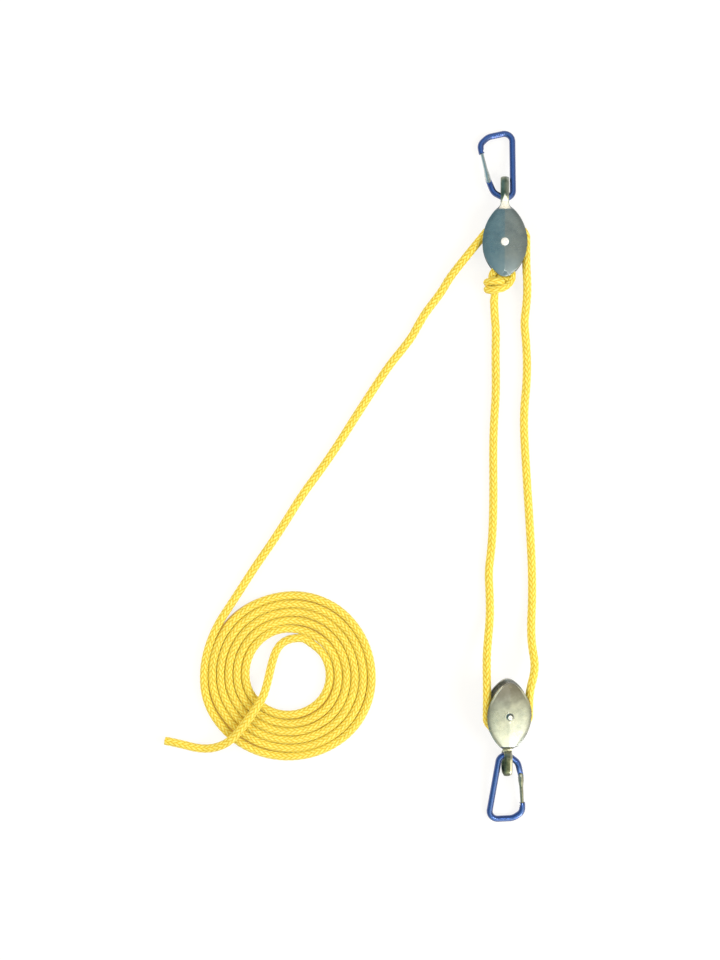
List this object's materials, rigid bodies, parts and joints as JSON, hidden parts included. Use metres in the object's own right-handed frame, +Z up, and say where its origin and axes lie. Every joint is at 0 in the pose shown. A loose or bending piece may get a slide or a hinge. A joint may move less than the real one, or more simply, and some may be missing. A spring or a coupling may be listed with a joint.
{
  "type": "pulley demonstrator",
  "caption": "Rope-and-pulley hoisting set: a fixed and a moving block, each on a snap carabiner, with a yellow braided rope rove between them and its hauling end coiled.",
  "frame": {"origin": "on the table, under the middle of the two blocks and their carabiners", "axes": "+Y from the load end to the anchor end, along the tackle; +Z up from the table on which the set lies; +X to the right"},
  "size_m": [0.3258, 0.6069, 0.0334],
  "materials": {
    "pressed_steel": "zinc-plated pressed steel, satin, with a faint warm passivation",
    "rivet_steel": "bright plated steel",
    "sheave_zinc": "cast zinc alloy, satin",
    "blue_bar": "blue anodised, satin sheen",
    "gate_metal": "plain polished",
    "small_steel": "stainless steel",
    "rope_yellow": "braided polypropylene, slightly glossy strands"
  },
  "bodies": {
    "upper_block": {"upper_shell": "pressed_steel", "upper_axle_rivet": "rivet_steel", "upper_axle_sleeve": "small_steel", "upper_becket_pin": "rivet_steel", "rope_knot": "rope_yellow", "rope_left_fall": "rope_yellow", "rope_right_fall": "rope_yellow", "rope_lead": "rope_yellow", "rope_coil": "rope_yellow", "rope_tail": "rope_yellow"},
    "upper_sheave": {"upper_sheave": "sheave_zinc"},
    "lower_block": {"lower_shell": "pressed_steel", "lower_axle_rivet": "rivet_steel", "lower_axle_sleeve": "small_steel", "lower_becket_pin": "rivet_steel", "rope_lower_turn": "rope_yellow"},
    "lower_sheave": {"lower_sheave": "sheave_zinc"},
    "upper_carabiner": {"upper_carabiner_body": "blue_bar", "upper_gate_hinge_pin": "small_steel"},
    "upper_gate": {"upper_gate": "gate_metal", "upper_gate_latch_pin": "small_steel", "upper_gate_plunger": "small_steel", "upper_gate_spring": "small_steel"},
    "lower_carabiner": {"lower_carabiner_body": "blue_bar", "lower_gate_hinge_pin": "small_steel"},
    "lower_gate": {"lower_gate": "gate_metal", "lower_gate_latch_pin": "small_steel", "lower_gate_plunger": "small_steel", "lower_gate_spring": "small_steel"}
  },
  "joints": [
    {"name": "lower_block_travel", "type": "slide", "parent": "upper_block", "child": "lower_block", "axis": [0, 1, 0], "range_m": [-0.1, 0.15], "deforming": ["rope_left_fall", "rope_right_fall"]},
    {"name": "upper_sheave_spin", "type": "hinge", "parent": "upper_block", "child": "upper_sheave", "pos_m": [0, 0.2039, 0.00995], "axis": [-0.0698, 0, 0.9976], "continuous": true},
    {"name": "lower_sheave_spin", "type": "hinge", "parent": "lower_block", "child": "lower_sheave", "pos_m": [0.0018, -0.2056, 0.01977], "axis": [0.1266, -0.2376, 0.9631], "continuous": true},
    {"name": "upper_carabiner_swing", "type": "hinge", "parent": "upper_block", "child": "upper_carabiner", "pos_m": [0.0007, 0.24419, 0.00987], "axis": [1, 0, 0], "range_deg": [-110, 110]},
    {"name": "lower_carabiner_swing", "type": "hinge", "parent": "lower_block", "child": "lower_carabiner", "pos_m": [0.00181, -0.24473, 0.0102], "axis": [-0.9869, 0.1616, 0], "range_deg": [-25, 110]},
    {"name": "upper_gate_opening", "type": "hinge", "parent": "upper_carabiner", "child": "upper_gate", "pos_m": [-0.0141, 0.25868, 0.00804], "axis": [0, -0.1257, -0.9921], "range_deg": [0, 28], "stiffness_Nm_per_rad": 0.02, "springref_deg": -17.19},
    {"name": "lower_gate_opening", "type": "hinge", "parent": "lower_carabiner", "child": "lower_gate", "pos_m": [0.01408, -0.2614, 0.00828], "axis": [0.0213, 0.1298, -0.9913], "range_deg": [0, 28], "stiffness_Nm_per_rad": 0.02, "springref_deg": -17.19}
  ],
  "couplings": [
    {"joint": "upper_sheave_spin", "follows": "lower_block_travel", "rad_per_m": 107.53},
    {"joint": "lower_sheave_spin", "follows": "lower_block_travel", "rad_per_m": 53.763}
  ]
}
